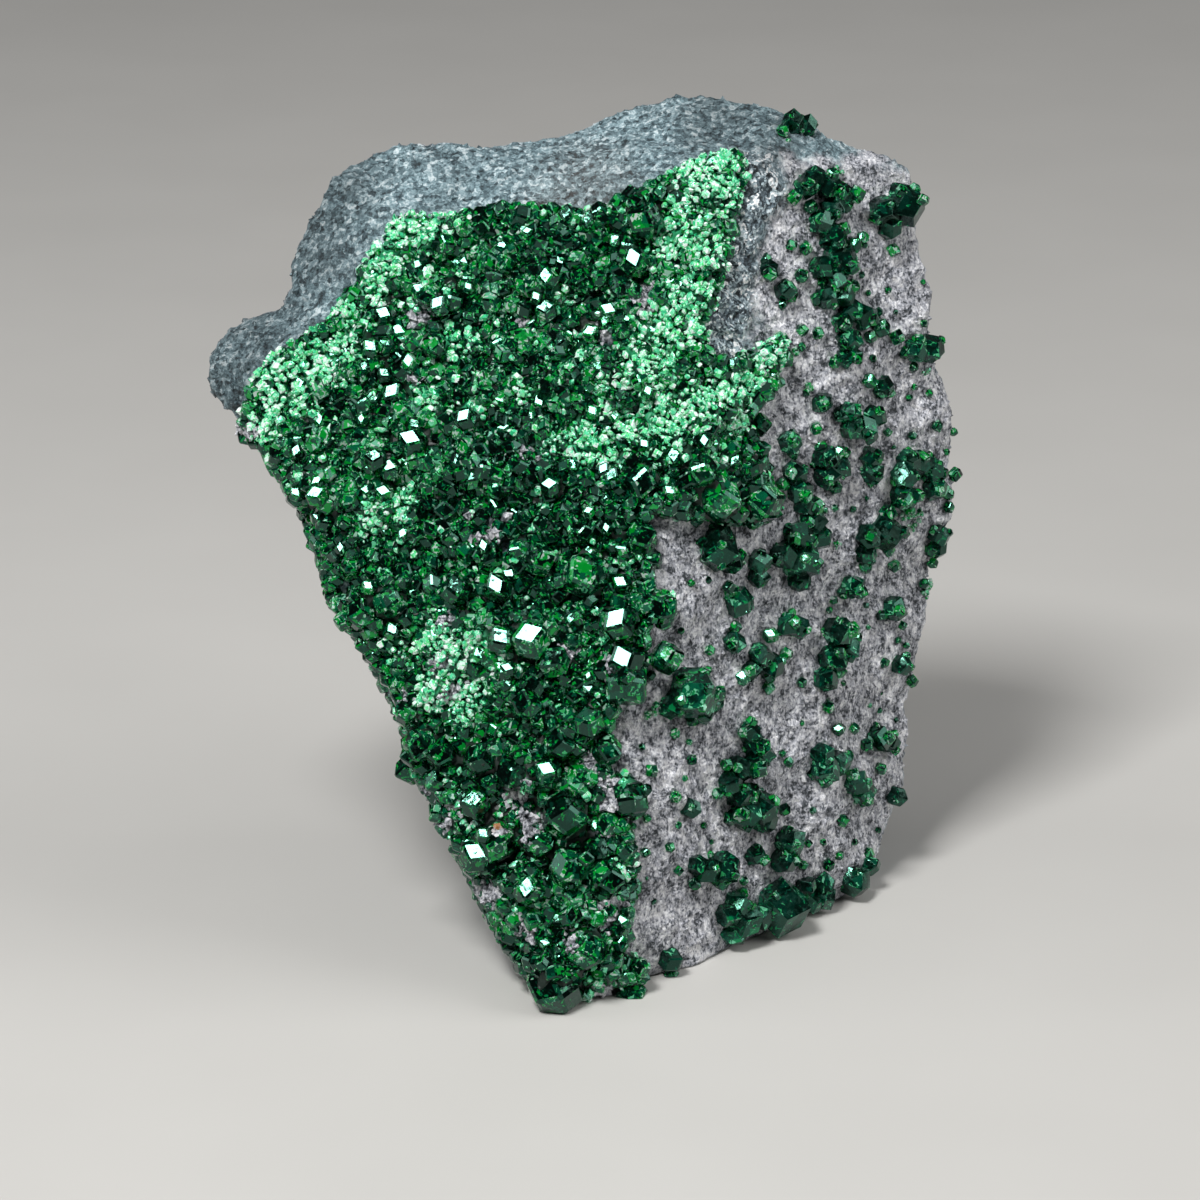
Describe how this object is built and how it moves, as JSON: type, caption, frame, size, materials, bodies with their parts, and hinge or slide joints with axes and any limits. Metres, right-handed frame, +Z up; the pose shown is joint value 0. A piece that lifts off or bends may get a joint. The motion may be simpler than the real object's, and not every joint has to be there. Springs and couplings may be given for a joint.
{
  "type": "uvarovite garnet cluster on chromite matrix",
  "caption": "Wedge-shaped block of grey chromite rock that stands on its narrow foot, crusted on the front with small deep green garnet crystals and dotted with larger ones on the right face.",
  "frame": {"origin": "on the ground, under the middle of the specimen's bounding box", "axes": "+Z up as the specimen stands, -Y towards the viewer of the crusted front face, +X to that viewer's right"},
  "size_m": [0.0402, 0.0286, 0.0429],
  "materials": {
    "chromite": "granular broken rock, matt with small glinting grains",
    "garnet": "deep green see-through crystal with glassy faces"
  },
  "bodies": {
    "root": {"chromite_matrix": "chromite", "garnet_druse": "garnet", "garnet_pair_top_edge": "garnet", "garnet_cluster_top": "garnet", "garnet_cluster_top_right": "garnet", "garnet_bead_ridge": "garnet", "garnet_bead_under_ridge": "garnet", "garnet_pair_right_edge": "garnet", "garnet_bead_glint": "garnet", "garnet_bead_upper": "garnet", "garnet_cluster_upper": "garnet", "garnet_bead_middle": "garnet", "garnet_cluster_middle": "garnet", "garnet_pair_middle": "garnet", "garnet_cluster_right_edge": "garnet", "garnet_cluster_heart": "garnet", "garnet_cluster_ridge": "garnet", "garnet_pair_under_ridge": "garnet", "garnet_bead_centre_left": "garnet", "garnet_bead_centre": "garnet", "garnet_cluster_pale": "garnet", "garnet_pair_right_edge_low": "garnet", "garnet_bead_right_upper": "garnet", "garnet_bead_right": "garnet", "garnet_pair_centre": "garnet", "garnet_cluster_centre": "garnet", "garnet_cluster_centre_right": "garnet", "garnet_rosette": "garnet", "garnet_bead_right_low": "garnet", "garnet_pair_right_low": "garnet", "garnet_wedge": "garnet", "garnet_pair_low": "garnet", "garnet_bead_edge_low": "garnet", "garnet_cluster_low": "garnet", "garnet_bead_low_left": "garnet", "garnet_cluster_low_left": "garnet", "garnet_bead_low": "garnet", "garnet_pair_foot": "garnet", "garnet_bead_foot": "garnet", "garnet_chain_foot_right": "garnet", "garnet_large_foot_right": "garnet", "garnet_bead_foot_right": "garnet", "garnet_cluster_foot": "garnet", "garnet_bead_foot_left": "garnet"}
  },
  "joints": []
}
